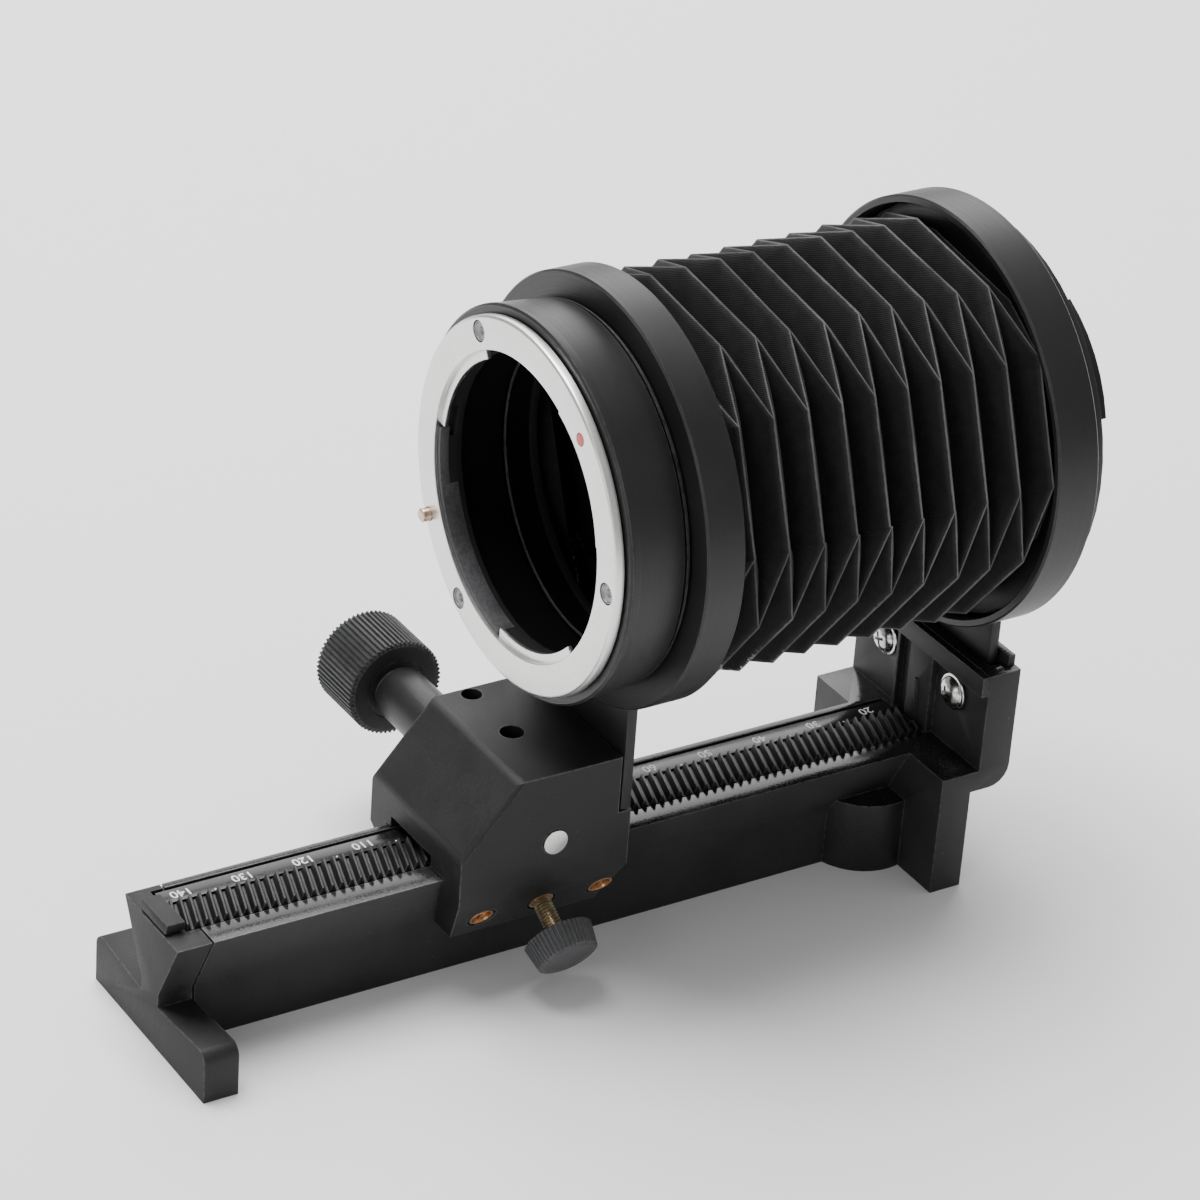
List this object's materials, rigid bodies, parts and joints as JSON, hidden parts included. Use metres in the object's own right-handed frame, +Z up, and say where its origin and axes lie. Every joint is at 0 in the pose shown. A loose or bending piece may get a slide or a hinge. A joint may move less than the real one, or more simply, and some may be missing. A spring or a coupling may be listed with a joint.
{
  "type": "macro extension bellows",
  "caption": "Macro extension bellows: toothed dovetail rail with feet, geared focusing carriage, pleated cloth bellows, bright lens bayonet in front and camera bayonet behind.",
  "frame": {"origin": "on the rail's underside, halfway along the rail, under the optical axis", "axes": "+Y along the rail and the optical axis, from the lens side to the camera side; +Z up; +X towards the clamping screw, away from the focusing knob"},
  "size_m": [0.0792, 0.1453, 0.1086],
  "materials": {
    "black_polymer": "black glass-filled moulding, satin with worn edges",
    "gloss_rack": "smooth black moulding",
    "black_anodised": "black anodised, satin",
    "silver_mount": "turned and lapped bright ring",
    "steel": "bright plated fasteners and shaft",
    "brass": "turned bright brass",
    "red_paint": "red enamel in a drilled dimple",
    "bellows_cloth": "black rubberised twill, rubbed light on the folds",
    "nylon": "natural nylon"
  },
  "bodies": {
    "rail_unit": {"rail": "black_polymer", "front_foot": "black_polymer", "rack_stop": "black_polymer", "rack": "gloss_rack", "scale_strip": "gloss_rack", "tripod_bush": "steel", "rear_standard": "black_anodised", "rear_mount": "black_anodised", "rear_mount_screw_1": "steel", "rear_mount_screw_2": "steel", "rear_mount_screw_3": "steel", "bracket_screw_left": "steel", "bracket_screw_right": "steel", "bracket_nut_left": "steel", "bracket_nut_right": "steel", "bellows": "bellows_cloth", "bellows_rear_frame": "black_anodised"},
    "carriage_unit": {"carriage": "black_polymer", "insert_front": "brass", "insert_middle": "brass", "insert_rear": "brass", "gib_screw_front": "brass", "gib_screw_rear": "brass", "bearing_sleeve": "black_anodised", "sleeve_set_screw": "steel", "friction_washer": "nylon", "front_standard": "black_anodised", "plate_screw_left": "steel", "plate_screw_right": "steel", "lens_adapter": "black_anodised", "mount_backing_ring": "black_anodised", "lens_mount_ring": "silver_mount", "mount_screw_1": "steel", "mount_screw_2": "steel", "mount_screw_3": "steel", "index_dot": "red_paint", "bellows_front_frame": "black_anodised", "lock_pin_spring": "steel"},
    "focus_drive": {"pinion_shaft": "steel", "focus_knob": "black_polymer"},
    "clamp_tip": {"clamp_pad": "nylon"},
    "clamp_screw": {"clamp_stud": "brass", "clamp_knob": "black_polymer"},
    "lens_lock": {"lens_lock_pin": "brass"}
  },
  "joints": [
    {"name": "carriage_slide", "type": "slide", "parent": "rail_unit", "child": "carriage_unit", "axis": [0, 1, 0], "range_m": [-0.038, 0.03], "deforming": ["bellows"]},
    {"name": "focus_turn", "type": "hinge", "parent": "carriage_unit", "child": "focus_drive", "pos_m": [-0.034, -0.0101, 0.02575], "axis": [-1, 0, 0], "range_deg": [-470, 380]},
    {"name": "clamp_feed", "type": "slide", "parent": "carriage_unit", "child": "clamp_tip", "axis": [-0.8533, 0, 0.5215], "range_m": [-0.0015, 0.00055]},
    {"name": "clamp_turn", "type": "hinge", "parent": "clamp_tip", "child": "clamp_screw", "pos_m": [0.01017, -0.0097, 0.01321], "axis": [-0.8533, 0, 0.5215], "range_deg": [-1081, 397]},
    {"name": "lens_lock_press", "type": "slide", "parent": "carriage_unit", "child": "lens_lock", "axis": [0, 1, 0], "range_m": [0, 0.0014], "stiffness_N_per_m": 300, "springref_m": -0.0005, "deforming": ["lock_pin_spring"]}
  ],
  "couplings": [
    {"joint": "focus_turn", "follows": "carriage_slide", "rad_per_m": 210.53},
    {"joint": "clamp_turn", "follows": "clamp_feed", "rad_per_m": 12566}
  ]
}
